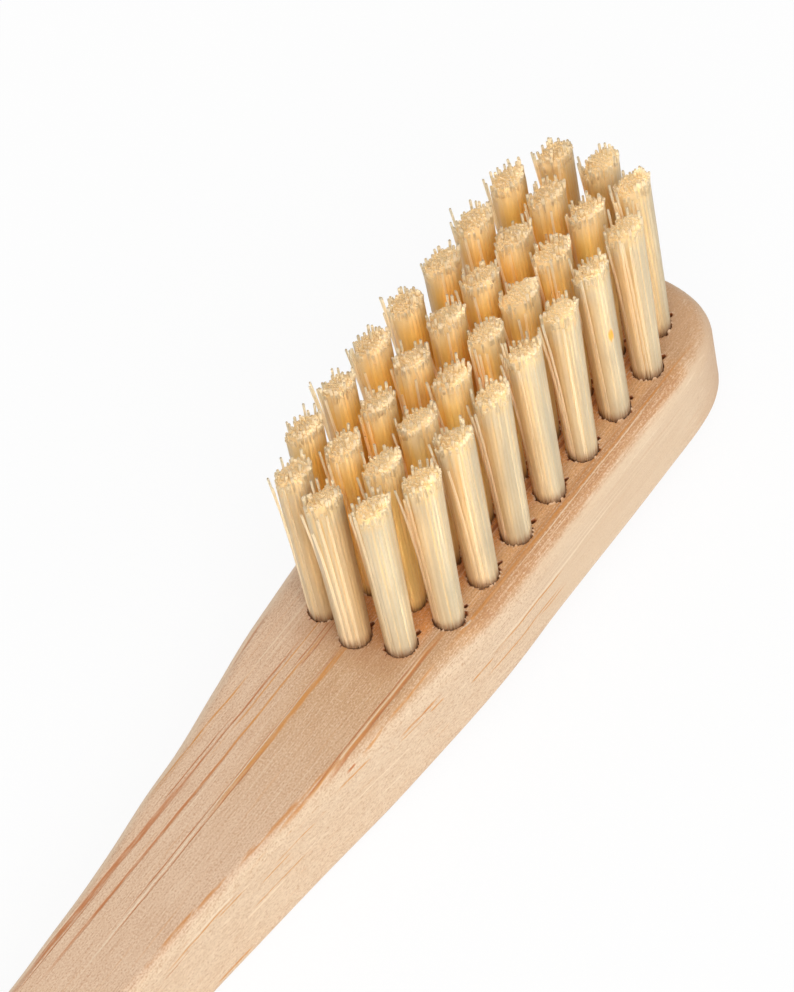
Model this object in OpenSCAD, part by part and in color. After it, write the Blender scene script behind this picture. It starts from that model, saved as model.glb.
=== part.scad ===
// A bamboo toothbrush that lies on its flat back, bristles up.
// X runs along the brush, towards the tip of the head. Z is up, square to the bristle face.
// The origin is the middle of the brush's length, on the flat back.

/* [Handle] */
// Whole length, from the tip of the head to the end of the grip
brush_len = 188; // [176:1:200]
// Thickness of the bamboo blank, at the neck and the grip
blank_t = 6.2; // [5.8:0.1:7.4]
// Width of the neck at its narrowest
neck_w = 5.4; // [5:0.1:6.4]
// Straight length of the neck
neck_len = 7; // [4:0.5:12]
// Length over which the neck widens into the grip
flare_len = 36; // [28:1:44]
// Width of the grip at its widest
grip_w = 13.2; // [11:0.1:15]
// Width of the grip where its end starts to round off
butt_w = 11.4; // [9:0.1:12.8]
// Length of the rounded end of the grip
butt_len = 5.6; // [4:0.1:7]
// Radius of the edges of the grip
grip_edge_r = 1.9; // [1.2:0.1:2.4]

/* [Head] */
// Thickness of the head, which is thinned from behind
head_t = 5.1; // [4.8:0.1:5.7]
// Bamboo left outside the holes, at each side
side_rim = 1.45; // [1.2:0.05:2]
// Bamboo left past the last hole, at the tip
tip_rim = 1.85; // [1.3:0.05:2.4]
// Length of the rounded tip
tip_len = 6.4; // [5.6:0.1:7.4]
// How far before the first full column of holes the head starts to narrow
shoulder_lead = 3.5; // [2:0.5:6]
// Length over which the head narrows into the neck
shoulder_len = 34; // [28:0.5:40]
// How far before the shoulder the thinned back starts to fall away
thin_lead = 2; // [0:0.5:5]
// Length over which the thinned back runs out
thin_len = 18; // [14:1:24]
// Radius of the upper edge of the head and neck
face_edge_r = 0.8; // [0.4:0.05:1.2]
// Radius of the lower edge of the head and neck
back_edge_r = 1; // [0.7:0.05:1.4]

/* [Holes] */
// Bore of a tuft's blind hole
hole_d = 1.6; // [1.5:0.05:1.8]
// Depth of a tuft's hole
hole_depth = 3.6; // [3.2:0.1:4]
// Step between columns, along the brush
column_pitch = 2.9; // [2.7:0.05:3.2]
// Step between rows, across the brush
row_pitch = 2.24; // [2.15:0.01:2.5]
// Step from the last full column to the outer tufts of the arc past it
outer_step = 2.43; // [2.3:0.01:2.7]
// Step from the last full column to the middle tuft of the arc past it
middle_step = 3.05; // [2.8:0.01:3.4]

/* [Bristles] */
// Height of the bristles above the face
bristle_h = 10.5; // [9:0.1:12]
// How far the longest strands of a tuft stand above the others
proud_h = 0.4; // [0:0.05:0.6]
// Width of one strand at its root, corner to corner
strand_w = 0.34; // [0.3:0.01:0.36]
// Width of one strand at its cut end
strand_tip_w = 0.26; // [0.2:0.01:0.3]
// How much wider a tuft is at its top than at its foot, along its anchor plate
tuft_spread = 0.46; // [0.1:0.02:0.6]
// How much narrower a tuft is at its top than at its foot, across its anchor plate
tuft_narrowing = 0.06; // [0:0.02:0.2]
// How much higher a tuft is cut at its near side than at its far side
cut_rise = 0.4; // [0:0.05:0.5]

/* [Anchor plates] */
// Width of a plate, which bites into the bamboo past the hole
anchor_w = 2.3; // [2.1:0.01:2.4]
// Height of a plate
anchor_h = 1.3; // [1.1:0.05:1.5]
// Thickness of a plate
anchor_t = 0.26; // [0.2:0.01:0.3]
// Height of the folded bristles under a plate
fold_h = 0.35; // [0.25:0.01:0.5]
// Angle of the plates to the length of the brush
anchor_angle = -18; // [-30:1:0]

/* [Hidden] */
// Clearance round a plate and round a tuft's root
seat_gap = 0.02;
// How far a cut runs past the face that it opens on
cut_over = 0.5;
// How deep a strand is sunk in the root that holds it
strand_sink = 0.25;
// Longest step between two sections of the handle
section_step = 2.6;

// Counts
$fn = 48;
columns = 7;
rows = 4;
outer_strands = 9;
// One outer strand in this many is a long one
proud_step = 3;
inner_strands = 4;
strand_sides = 4;
edge_steps = 4;
tip_steps = 14;
butt_steps = 10;

// Powers of the outlines: 2 is an ellipse, and more is squarer
tip_power = 2.8;
butt_power = 2.1;
shoulder_start_power = 1.6;
shoulder_end_power = 2.4;
// Where the inner ring of strands stands, as a share of the outer ring's radius
inner_ring_share = 0.45;

// Places along the brush are distances from its tip
last_column_at = tip_rim + hole_d / 2 + middle_step;
first_column_at = last_column_at + (columns - 1) * column_pitch;
shoulder_at = first_column_at - shoulder_lead;
neck_at = shoulder_at + shoulder_len;
flare_at = neck_at + neck_len;
grip_at = flare_at + flare_len;
butt_at = brush_len - butt_len;
thin_at = shoulder_at - thin_lead;

// Sizes that follow from those above
head_w = (rows - 1) * row_pitch + hole_d + 2 * side_rim;
thin_depth = blank_t - head_t;
hole_floor = blank_t - hole_depth;
root_d = hole_d - 2 * seat_gap;
outer_ring_r = (root_d - strand_w) / 2;

// The tufts: each has its name, its distance from the tip and its place across the brush
row_names = ["a", "b", "c", "d"];
function across(row) = ((rows - 1) / 2 - row) * row_pitch;
function arc_step(i) = i == 1 ? middle_step : outer_step;
TUFTS = concat(
    [for (i = [0 : rows - 2])
        [str("tuft_neck_", row_names[i]), first_column_at + arc_step(i), across(i + 1 / 2)]],
    [for (c = [1 : columns], r = [0 : rows - 1])
        [str("tuft_", row_names[r], c), first_column_at - (c - 1) * column_pitch, across(r)]],
    [for (i = [0 : rows - 2])
        [str("tuft_tip_", row_names[i]), last_column_at - arc_step(i), across(i + 1 / 2)]]
);

function mix(a, b, t) = a + (b - a) * t;
function ease(t) = t <= 0 ? 0 : t >= 1 ? 1 : t * t * (3 - 2 * t);
function shoulder(t) = pow(1 - pow(t, shoulder_start_power), shoulder_end_power);

// Half the width of the handle between its two round ends
function half_width(d) =
    d < shoulder_at ? head_w / 2 :
    d < neck_at ? mix(neck_w, head_w, shoulder((d - shoulder_at) / shoulder_len)) / 2 :
    d < grip_at ? mix(neck_w, grip_w, ease((d - flare_at) / flare_len)) / 2 :
    mix(grip_w, butt_w, ease((d - grip_at) / (butt_at - grip_at))) / 2;

// How far the back of the head lies above the flat back of the neck and grip
function back_rise(d) = thin_depth * (1 - ease((d - thin_at) / thin_len));

// Radii of the upper and lower edges
function upper_edge(d) = mix(face_edge_r, grip_edge_r, ease((d - flare_at) / flare_len));
function lower_edge(d) = mix(back_edge_r, grip_edge_r, ease((d - flare_at) / flare_len));

// The outline: one [distance from the tip, half width] for each section, with a single point at each end
function round_end(length, half_w, power, steps) =
    [for (i = [0 : steps])
        let (a = 90 * i / steps)
        [length * (1 - pow(cos(a), 2 / power)), half_w * pow(sin(a), 2 / power)]];
tip_outline = round_end(tip_len, head_w / 2, tip_power, tip_steps);
butt_outline = round_end(butt_len, butt_w / 2, butt_power, butt_steps);
body_steps = ceil((butt_at - tip_len) / section_step);
outline = concat(
    tip_outline,
    [for (i = [1 : body_steps - 1])
        let (d = mix(tip_len, butt_at, i / body_steps))
        [d, half_width(d)]],
    [for (i = [butt_steps : -1 : 0]) [brush_len - butt_outline[i][0], butt_outline[i][1]]]
);
last = len(outline) - 1;

// Outward direction of the outline at a section, seen from above
function outward(i) =
    i == 0 ? [-1, 0] :
    i == last ? [1, 0] :
    let (run = outline[i + 1] - outline[i - 1])
    [-run[1], run[0]] / norm(run);

// Rings from the face down to the back: inset from the outline, and height
function edge_turn(k) = 90 * k / edge_steps;
ring_count = 2 * (edge_steps + 1);
function ring_point(i, k, side) =
    let (
        d = outline[i][0],
        upper = k <= edge_steps,
        turn = upper ? edge_turn(k) : edge_turn(ring_count - 1 - k),
        r = upper ? upper_edge(d) : lower_edge(d),
        inset = r * (1 - sin(turn)),
        drop = r * (1 - cos(turn)),
        place = outline[i] - outward(i) * inset
    )
    [
        brush_len / 2 - place[0],
        side * place[1],
        upper ? blank_t - drop : back_rise(d) + drop
    ];

// A ring runs from the tip along the +Y side to the butt, and back along the -Y side
ring_size = 2 * last;
function ring(k) = concat(
    [for (i = [0 : last]) ring_point(i, k, 1)],
    [for (i = [last - 1 : -1 : 1]) ring_point(i, k, -1)]
);
function wall_faces(k) = [
    for (i = [0 : ring_size - 1])
        let (
            j = (i + 1) % ring_size,
            a = k * ring_size + i,
            b = k * ring_size + j,
            c = a + ring_size,
            e = b + ring_size
        )
        each [[a, b, e], [a, e, c]]
];
// A face or a back is closed by strips across, from one side's points to the other's
function cap_faces(k, up) = [
    for (i = [0 : last - 1])
        let (
            base = k * ring_size,
            a = base + i,
            b = base + i + 1,
            c = base + (ring_size - i) % ring_size,
            e = base + ring_size - i - 1
        )
        each concat(
            i == 0 ? [] : [up ? [a, c, b] : [a, b, c]],
            i == last - 1 ? [] : [up ? [b, c, e] : [b, e, c]]
        )
];

module handle_body() {
    polyhedron(
        points = [for (k = [0 : ring_count - 1]) each ring(k)],
        faces = concat(
            cap_faces(0, true),
            [for (k = [0 : ring_count - 2]) each wall_faces(k)],
            cap_faces(ring_count - 1, false)
        ),
        convexity = 4
    );
}

// Places its children on the face, over each tuft's hole
module at_tuft(tuft) {
    translate([brush_len / 2 - tuft[1], tuft[2], 0])
        children();
}

// A blind hole with the slit that the anchor plate cuts in its wall
module tuft_hole() {
    translate([0, 0, hole_floor])
        cylinder(d = hole_d, h = hole_depth + cut_over);
    rotate([0, 0, anchor_angle])
        translate([-anchor_w / 2 - seat_gap, -anchor_t / 2 - seat_gap, hole_floor + fold_h - seat_gap])
            cube([anchor_w + 2 * seat_gap, anchor_t + 2 * seat_gap, hole_depth - fold_h + cut_over]);
}

module handle() {
    color("burlywood")
        difference() {
            handle_body();
            for (tuft = TUFTS)
                at_tuft(tuft) tuft_hole();
        }
}

module anchor_plate() {
    rotate([0, 0, anchor_angle])
        translate([-anchor_w / 2, -anchor_t / 2, hole_floor + fold_h])
            cube([anchor_w, anchor_t, anchor_h]);
}

module anchor_plates() {
    color("silver")
        for (tuft = TUFTS)
            at_tuft(tuft) anchor_plate();
}

// The folded bristles in the hole, with the slot that the anchor plate holds them by
module tuft_root() {
    difference() {
        translate([0, 0, hole_floor + seat_gap])
            cylinder(d = root_d, h = hole_depth - seat_gap);
        rotate([0, 0, anchor_angle])
            translate([-root_d, -anchor_t / 2 - seat_gap, hole_floor + fold_h - seat_gap])
                cube([2 * root_d, anchor_t + 2 * seat_gap, anchor_h + 2 * seat_gap]);
    }
}

// A strand stands at a radius and a bearing of its tuft, and leans as the tuft spreads and narrows
module strand(radius, bearing, height = bristle_h) {
    wider = 1 + tuft_spread / root_d;
    narrower = 1 - tuft_narrowing / root_d;
    from_plate = bearing - anchor_angle;
    along = cos(from_plate);
    aside = sin(from_plate);
    cut = height - cut_rise / 2 * sin(bearing) * radius / outer_ring_r;
    foot = [radius, 0, blank_t - strand_sink];
    top = [
        radius * (wider * along * along + narrower * aside * aside),
        radius * (narrower - wider) * along * aside,
        blank_t + cut
    ];
    corners = [for (i = [0 : strand_sides - 1]) 360 * (i + 1 / 2) / strand_sides];
    rotate([0, 0, bearing])
        polyhedron(
            points = concat(
                [for (a = corners) foot + strand_w / 2 * [cos(a), sin(a), 0]],
                [for (a = corners) top + strand_tip_w / 2 * [cos(a), sin(a), 0]]
            ),
            faces = concat(
                [for (i = [1 : strand_sides - 2]) [0, i, i + 1]],
                [for (i = [1 : strand_sides - 2]) strand_sides * [1, 1, 1] + [0, i + 1, i]],
                [for (i = [0 : strand_sides - 1])
                    let (j = (i + 1) % strand_sides)
                    each [
                        [i, i + strand_sides, j + strand_sides],
                        [i, j + strand_sides, j]
                    ]]
            )
        );
}

module tuft(place) {
    color("wheat")
        at_tuft(place) {
            tuft_root();
            strand(0, 0);
            for (i = [0 : inner_strands - 1])
                strand(outer_ring_r * inner_ring_share, 360 * i / inner_strands);
            for (i = [0 : outer_strands - 1]) {
                proud = i % proud_step == 0 ? proud_h : 0;
                strand(outer_ring_r, 360 * i / outer_strands, bristle_h + proud);
            }
        }
}

handle();
anchor_plates();
for (place = TUFTS)
    tuft(place);
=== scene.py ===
"""A bamboo toothbrush lying on its flat back.

The sanded handle has thirty-four drilled holes. Each holds a tuft of cut filaments, wedged in
by a thin anchor plate whose slit shows as a nick beside the hole.
Lengths below are in millimetres, and MM turns them into the scene's metres.
"""

import math
import random

import bmesh
import bpy
from mathutils import Matrix, Vector, noise


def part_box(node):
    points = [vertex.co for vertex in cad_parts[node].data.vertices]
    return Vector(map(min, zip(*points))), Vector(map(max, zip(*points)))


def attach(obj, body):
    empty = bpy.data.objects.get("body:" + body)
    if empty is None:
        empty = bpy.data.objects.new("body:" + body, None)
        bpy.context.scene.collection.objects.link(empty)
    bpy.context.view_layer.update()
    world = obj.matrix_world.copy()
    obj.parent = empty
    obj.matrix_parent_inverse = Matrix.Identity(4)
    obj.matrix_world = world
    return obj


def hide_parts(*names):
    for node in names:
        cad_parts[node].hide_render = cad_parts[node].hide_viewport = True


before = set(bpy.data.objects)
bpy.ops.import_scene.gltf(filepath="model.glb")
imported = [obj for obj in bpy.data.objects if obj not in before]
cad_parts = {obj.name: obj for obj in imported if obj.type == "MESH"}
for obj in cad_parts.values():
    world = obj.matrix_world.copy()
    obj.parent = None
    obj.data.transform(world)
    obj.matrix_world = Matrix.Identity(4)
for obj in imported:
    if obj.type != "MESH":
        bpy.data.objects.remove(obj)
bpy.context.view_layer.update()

MM = 0.001

# The blank: its length, width and thickness come from the frame
HANDLE_LOW, HANDLE_HIGH = (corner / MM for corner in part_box("handle"))
TIP_X = HANDLE_HIGH.x
BRUSH_LEN = HANDLE_HIGH.x - HANDLE_LOW.x
BLANK_T = HANDLE_HIGH.z
GRIP_W = 2 * HANDLE_HIGH.y
BUTT_W = 11.4
BUTT_LEN = 5.6
NECK_W = 5.4
NECK_LEN = 7
FLARE_LEN = 36
GRIP_EDGE_R = 1.9
HEAD_W = 11.22
HEAD_T = 5.1
TIP_LEN = 6.4
SHOULDER_LEAD = 3.5
SHOULDER_LEN = 34
THIN_LEAD = 2
THIN_LEN = 18
NECK_EDGE_R = 0.7
HEAD_EDGE_R = 1.1
TIP_EDGE_R = 1.2
BACK_EDGE_R = 1
TIP_POWER = 2.8
BUTT_POWER = 2.1
SHOULDER_SWELL = 1.6
SHOULDER_HOLLOW = 2.4
BOW = 0.1

# How finely the blank is drawn: the steps of its ends, walls and edges
TIP_STEPS = 24
BUTT_STEPS = 14
HEAD_STATION = 0.7
GRIP_STATION = 1.6
LAST_STATION = 2
EDGE_TURNS = 9
WALL_LEVELS = 3

# The sanded edges stray from true by a size, over a wave's length along the brush
FACE_SANDING = (0.3, 4)
BACK_SANDING = (0.2, 5)
SIDE_SANDING = (0.06, 7)
BACK_SEED = 5
SIDE_SEED = 9
SIDE_INSET = 0.03
HEAD_EDGE_LEAD = 6
TIP_EDGE_HOLD = 1.2
TIP_EDGE_RUN = 4.5
TRUE_HALF = 2.5

# The holes and their anchor slits
HOLES_SEED = 34
HOLE_R = 0.8
HOLE_DEPTH = 3.6
ANCHOR_ANGLE = math.radians(-18)
SLIT_HALF = 0.15
SLIT_REACH = 1.17
SLIT_TAPER = 0.7
PLATE_TOP = 4.25
ARC_STEPS = 42
SLIT_POINTS = 6

# The torn ends of a slit on the face: half widths and reaches at its near and far end
NICK_HALF = (0.07, 0.13)
NICK_REACH = (1.06, SLIT_REACH)
FAR_HALF = (0.01, 0.03)
FAR_REACH = (0.86, 0.96)

# The rings of a rim: how much wider than the hole, then how much wider and longer than the slit
RIM_OUTSIDE = (0.14, 0.08, 0.12)
RIM_LIP = (0.035, 0.02, 0.03)
RIM_MOUTH = (0.01, 0, 0)
RIM_WALL = (0.005, 0, 0)
RIM_FLOOR = (0, 0, 0)
LIP_DEPTH = 0.07
WALL_DEPTH = 0.35
OUTSIDE_SHARE = 0.3

# The drill leaves chips and splinters on a rim, counted in points of its ring
RIM_STRAY = 0.018
RIM_LIFT = (-0.03, 0.012)
RIM_BRUISE = (0.1, 0.3)
CHIPS = (2, 4)
CHIP_POINTS = (2, 5)
CHIP_REACH = (0.02, 0.06)
CHIP_SINK = 0.03
CHIP_BRUISE = 0.7
SPLINTERS = (4, 8)
SPLINTER_POINTS = (1, 3)
SPLINTER_REACH = (0.03, 0.09)
SPLINTER_LIFT = (0.02, 0.06)
SPLINTER_BRUISE = -0.5

# A tuft as it stands in its hole
ROOT_DEPTH = 1
TUFT_R = 0.7
STRAND_R = 0.078
STRAND_PITCH = 0.145
STRAND_RINGS = 5
CORE_SHARE = 0.3
JOSTLE_ROUND = 0.1
JOSTLE_OUT = 0.012
RIM_SHARE = 0.9
ROOT_END = 2.75
ROOT_GAP = 0.03
ROOT_SPLIT = 0.16
ROOT_STEPS = 12
FOLD_GAP = 0.02
ROW_PITCH = 2.24
NEIGHBOUR_REACH = 3.9

# How the tufts lean, spread and are cut above the face
LEAN = 0.06
TUFT_SPREAD = (0.26, 0.44)
FLATTENED = 0.4
CUT_SLOPE = (-0.08, 0.26)
SLOPE_STRAY = 0.07
CUT_DOME = 0.06
ABOVE_CUT = 0.57
TOP_GAP = 0.01

# The close-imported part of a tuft, and where its filaments come free of it
FLUTE_STEPS = 5
FLUTE_DEPTH = 0.085
FLUTE_HEIGHT = 0.15
MOUTH_DEPTH = 0.4
BODY_SHARES = (0.1, 0.3, 0.5, 0.75, 1)
BRINK_LEAD = 0.6
BRINK_GAP = 0.6
BRINK_SHARE = 0.84
FREE_END = 0.5
FREE_END_STRAY = (-0.3, 0.25)
MIDDLE_FREE_END = 0.05

# The free ends. A pair of values runs from the middle of the tuft to its rim.
FREE_R = 0.073
FREE_R_SHARES = (0.92, 1.05)
STRAND_SIDES = 8
TIP_ROUNDING = ((0.8, 1.0), (0.36, 0.84), (0.1, 0.5))
UNEVEN = (0.015, 0.07)
STIR = (0.006, 0.03)
FLARE_OUT = 0.07
PROUD_ODDS = (0.03, 0.38)
PROUD = (0.05, 0.55)
SHORT_ODDS = 0.25
SHORT_FROM = 0.8
SHORT = (0.05, 0.35)
LEAST_FREE_END = 0.06
SUNK = 0.02
RIM_GAP = 0.4
MIDDLE_TONE = 0.5

# The stray filaments, which leave the tuft at the rim on one side
STRAY_SIDE = (-0.54, 0.84)
STRAY_ARC = -0.35
STRAYS = (4, 7)
STRAY_R = 0.06
STRAY_CLEAR = (0.1, 0.4)
STRAY_STIR = 0.06
STRAY_SHORT = (0.1, 1.2)
STRAY_SHORTEST = 2.6
STRAY_SHORT_ODDS = 0.75
WELL_CLEAR = 0.3
CLEAR_AT_FOOT = 0.4
STRAY_SHARES = (0, 0.25, 0.5, 0.75)

# A bead of amber resin on the near side of a tuft
RESIN_AT = (85.22, -4.05, 12.28)
RESIN_W = 0.16
RESIN_H = 0.5

TUFTS = sorted(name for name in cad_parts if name.startswith("tuft_"))
BRISTLE_TOP = max(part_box(name)[1].z for name in TUFTS) / MM
CUT_TOP = BRISTLE_TOP - ABOVE_CUT
FREE_LEN = BRISTLE_TOP - BLANK_T


def tuft_middle(name):
    """The middle of a tuft's hole. Only the tuft's round root lies deep in the hole."""
    deep = (BLANK_T - ROOT_DEPTH) * MM
    root = [v.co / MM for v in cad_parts[name].data.vertices if v.co.z < deep]
    along = [co.x for co in root]
    across = [co.y for co in root]
    return Vector(((min(along) + max(along)) / 2, (min(across) + max(across)) / 2))


TUFT_MIDDLES = {name: tuft_middle(name) for name in TUFTS}
HEAD_MIDDLE = TUFT_MIDDLES["tuft_d4"].x
FACE_MIDDLE = (HEAD_MIDDLE, 0, BLANK_T)

# Places along the brush are distances from its tip
SHOULDER_AT = TIP_X - TUFT_MIDDLES["tuft_d1"].x - SHOULDER_LEAD
NECK_AT = SHOULDER_AT + SHOULDER_LEN
FLARE_AT = NECK_AT + NECK_LEN
GRIP_AT = FLARE_AT + FLARE_LEN
BUTT_AT = BRUSH_LEN - BUTT_LEN
THIN_AT = SHOULDER_AT - THIN_LEAD


def mix(a, b, t):
    return a + (b - a) * t


def ease(t):
    t = min(max(t, 0), 1)
    return t * t * (3 - 2 * t)


def half_width(d):
    """Half the width of the blank, d from its tip."""
    if d < SHOULDER_AT:
        return HEAD_W / 2
    if d < NECK_AT:
        shoulder = (1 - ((d - SHOULDER_AT) / SHOULDER_LEN) ** SHOULDER_SWELL) ** SHOULDER_HOLLOW
        return mix(NECK_W, HEAD_W, shoulder) / 2
    if d < GRIP_AT:
        return mix(NECK_W, GRIP_W, ease((d - FLARE_AT) / FLARE_LEN)) / 2
    return mix(GRIP_W, BUTT_W, ease((d - GRIP_AT) / (BUTT_AT - GRIP_AT))) / 2


def round_end(length, half, power, steps):
    """The rounded end of the blank: distances from its end, with half widths."""
    quarter = [math.pi / 2 * i / steps for i in range(steps + 1)]
    return [
        (length * (1 - max(math.cos(a), 0) ** (2 / power)), half * math.sin(a) ** (2 / power))
        for a in quarter
    ]


def blank_outline():
    """The blank seen from above, from its tip to its butt, as distances and half widths."""
    outline = round_end(TIP_LEN, HEAD_W / 2, TIP_POWER, TIP_STEPS)
    d = TIP_LEN
    while d < BUTT_AT - LAST_STATION:
        d += HEAD_STATION if d < FLARE_AT else GRIP_STATION
        outline.append((d, half_width(d)))
    butt = round_end(BUTT_LEN, BUTT_W / 2, BUTT_POWER, BUTT_STEPS)
    return outline + [(BRUSH_LEN - d, half) for d, half in reversed(butt)]


def sanding(d, seed, size, wave):
    """How far hand sanding strays at a place along the blank."""
    return size * noise.noise(Vector((d / wave, seed, 0.5)))


def sanded_radii(d, side, half):
    """The radii of the face's and the back's edge at a place along one side of the blank."""
    flare = ease((d - FLARE_AT) / FLARE_LEN)
    shoulder = ease((NECK_AT - HEAD_EDGE_LEAD - d) / SHOULDER_LEN)
    astray = ease(half / TRUE_HALF)
    face_r = mix(mix(NECK_EDGE_R, HEAD_EDGE_R, shoulder), GRIP_EDGE_R, flare)
    face_r *= 1 + sanding(d, side, *FACE_SANDING) * astray
    face_r = mix(face_r, TIP_EDGE_R, ease(TIP_EDGE_HOLD - d / TIP_EDGE_RUN))
    back_r = mix(BACK_EDGE_R, GRIP_EDGE_R, flare)
    back_r *= 1 + sanding(d, BACK_SEED + side, *BACK_SANDING) * astray
    return face_r, back_r


def blank_bow(d):
    """The head and neck of the blank stand a hair to one side of the row of grip and butt."""
    return BOW * (1 - ease((d - FLARE_AT) / FLARE_LEN))


def blank_ring(outline, level):
    """One closed ring round the blank: level 0 bounds the face, and the last bounds the back."""
    last = len(outline) - 1
    upper = level <= EDGE_TURNS
    lower = level >= EDGE_TURNS + WALL_LEVELS
    ring = []
    for side in (1, -1):
        stations = range(last + 1) if side == 1 else range(last - 1, 0, -1)
        for i in stations:
            d, half = outline[i]
            before, after = outline[max(i - 1, 0)], outline[min(i + 1, last)]
            run = Vector((after[0] - before[0], after[1] - before[1]))
            out = Vector((-run.y, run.x)).normalized()
            if i in (0, last):
                out = Vector((-1, 0)) if i == 0 else Vector((1, 0))
            face_r, back_r = sanded_radii(d, side, half)
            rise = (BLANK_T - HEAD_T) * (1 - ease((d - THIN_AT) / THIN_LEN))
            if upper:
                turn = math.pi / 2 * level / EDGE_TURNS
                inset = face_r * (1 - math.sin(turn))
                z = BLANK_T - face_r * (1 - math.cos(turn))
            elif lower:
                turn = math.pi / 2 * (2 * EDGE_TURNS + WALL_LEVELS - level) / EDGE_TURNS
                inset = back_r * (1 - math.sin(turn))
                z = rise + back_r * (1 - math.cos(turn))
            else:
                inset = 0
                z = mix(BLANK_T - face_r, rise + back_r, (level - EDGE_TURNS) / WALL_LEVELS)
            sanded = SIDE_INSET + sanding(d, SIDE_SEED + side, *SIDE_SANDING)
            inset += sanded * ease(half / TRUE_HALF)
            place = Vector((d, half)) - out * inset
            across = side * max(place.y, 0) + blank_bow(d)
            ring.append(Vector((TIP_X - place.x, across, z)))
    return ring


def hole_ring(middle, heights, size, ragged, slit):
    """One turn round a hole and out along both ends of its anchor slit."""
    grow, wider, longer = size
    radius = HOLE_R + grow
    points = []
    for end, (slit_half, slit_reach) in zip((0, math.pi), slit):
        half, reach = slit_half + wider, slit_reach + longer
        root = math.sqrt(radius**2 - half**2)
        bend = mix(root, reach, 0.5)
        one_side = ((root, half), (bend, half), (reach, SLIT_TAPER * half))
        around = [(x, -y) for x, y in one_side] + list(reversed(one_side))
        points += [Matrix.Rotation(end, 2) @ Vector(p) for p in around]
        mouth = math.asin(half / radius)
        for i in range(1, ARC_STEPS):
            angle = end + mix(mouth, math.pi - mouth, i / ARC_STEPS)
            r = radius + ragged[len(points) % len(ragged)]
            points.append(Vector((math.cos(angle), math.sin(angle))) * r)
    turned = [Matrix.Rotation(ANCHOR_ANGLE, 2) @ p + middle for p in points]
    return [Vector((p.x, p.y, z)) for p, z in zip(turned, heights)]


def ragged_rim(rng, count):
    """How far a drilled rim strays from round, how high it stands, and how bruised it is."""
    rim = [rng.gauss(0, RIM_STRAY) for _ in range(count)]
    lift = [rng.uniform(*RIM_LIFT) for _ in range(count)]
    bruise = [rng.uniform(*RIM_BRUISE) for _ in range(count)]
    for _ in range(rng.randint(*CHIPS)):
        chip, width = rng.randrange(count), rng.randint(*CHIP_POINTS)
        for i in range(chip, chip + width):
            rim[i % count] += rng.uniform(*CHIP_REACH)
            lift[i % count] -= CHIP_SINK
            bruise[i % count] = CHIP_BRUISE
    for _ in range(rng.randint(*SPLINTERS)):
        splinter, width = rng.randrange(count), rng.randint(*SPLINTER_POINTS)
        for i in range(splinter, splinter + width):
            rim[i % count] = -rng.uniform(*SPLINTER_REACH)
            lift[i % count] = rng.uniform(*SPLINTER_LIFT)
            bruise[i % count] = SPLINTER_BRUISE
    return rim, lift, bruise


def drilled_hole(mesh, middle, rng):
    """Adds a ragged hole with its slit, and returns the edges of its outermost ring."""
    count = 2 * (ARC_STEPS - 1 + SLIT_POINTS)
    rim, lift, bruise = ragged_rim(rng, count)
    calm = [0.0] * count
    nick = (rng.uniform(*NICK_HALF), rng.uniform(*NICK_REACH))
    far = (rng.uniform(*FAR_HALF), rng.uniform(*FAR_REACH))
    torn, clean = (nick, far), ((SLIT_HALF, SLIT_REACH),) * 2
    outside = [stray * OUTSIDE_SHARE for stray in rim]
    lip = [BLANK_T + rise for rise in lift]
    mouth = [BLANK_T - LIP_DEPTH + rise for rise in lift]
    rings = [
        hole_ring(middle, [BLANK_T] * count, RIM_OUTSIDE, outside, torn),
        hole_ring(middle, lip, RIM_LIP, rim, torn),
        hole_ring(middle, mouth, RIM_MOUTH, rim, torn),
        hole_ring(middle, [BLANK_T - WALL_DEPTH] * count, RIM_WALL, calm, clean),
        hole_ring(middle, [BLANK_T - HOLE_DEPTH] * count, RIM_FLOOR, calm, clean),
    ]
    verts = [[mesh.verts.new(p * MM) for p in ring] for ring in rings]
    drilled = mesh.verts.layers.float["drilled"]
    for turn, marks in zip(verts[1:], (bruise, [1] * count, [1] * count, [1] * count)):
        for vert, mark in zip(turn, marks):
            vert[drilled] = mark
    for upper, lower in zip(verts, verts[1:]):
        for i in range(count):
            j = (i + 1) % count
            mesh.faces.new((upper[i], upper[j], lower[j], lower[i]))
    mesh.faces.new(list(reversed(verts[-1])))
    top = verts[0]
    return [mesh.edges.get((top[i], top[(i + 1) % count])) for i in range(count)]


def make_handle():
    """The bamboo blank: its rounded sides, its back, and a face with the drilled holes in it."""
    rng = random.Random(HOLES_SEED)
    outline = blank_outline()
    last = len(outline) - 1
    mesh = bmesh.new()
    mesh.verts.layers.float.new("drilled")
    levels = 2 * EDGE_TURNS + WALL_LEVELS + 1
    rings = [[mesh.verts.new(p * MM) for p in blank_ring(outline, level)] for level in range(levels)]
    count = len(rings[0])
    for upper, lower in zip(rings, rings[1:]):
        for i in range(count):
            j = (i + 1) % count
            mesh.faces.new((upper[i], lower[i], lower[j], upper[j])).smooth = True
    back = rings[-1]
    for i in range(last):
        corners = [back[i], back[i + 1], back[count - i - 1], back[-i % count]]
        mesh.faces.new(list(dict.fromkeys(corners))).smooth = True
    face = rings[0]
    edges = [mesh.edges.get((face[i], face[(i + 1) % count])) for i in range(count)]
    for name in TUFTS:
        edges += drilled_hole(mesh, TUFT_MIDDLES[name], rng)
    bmesh.ops.triangle_fill(mesh, use_beauty=True, edges=edges, normal=(0, 0, 1))
    bmesh.ops.recalc_face_normals(mesh, faces=mesh.faces)
    data = bpy.data.meshes.new("bamboo_handle")
    mesh.to_mesh(data)
    mesh.free()
    handle = bpy.data.objects.new("bamboo_handle", data)
    bpy.context.collection.objects.link(handle)
    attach(handle, "root")
    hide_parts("handle")
    return handle


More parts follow.
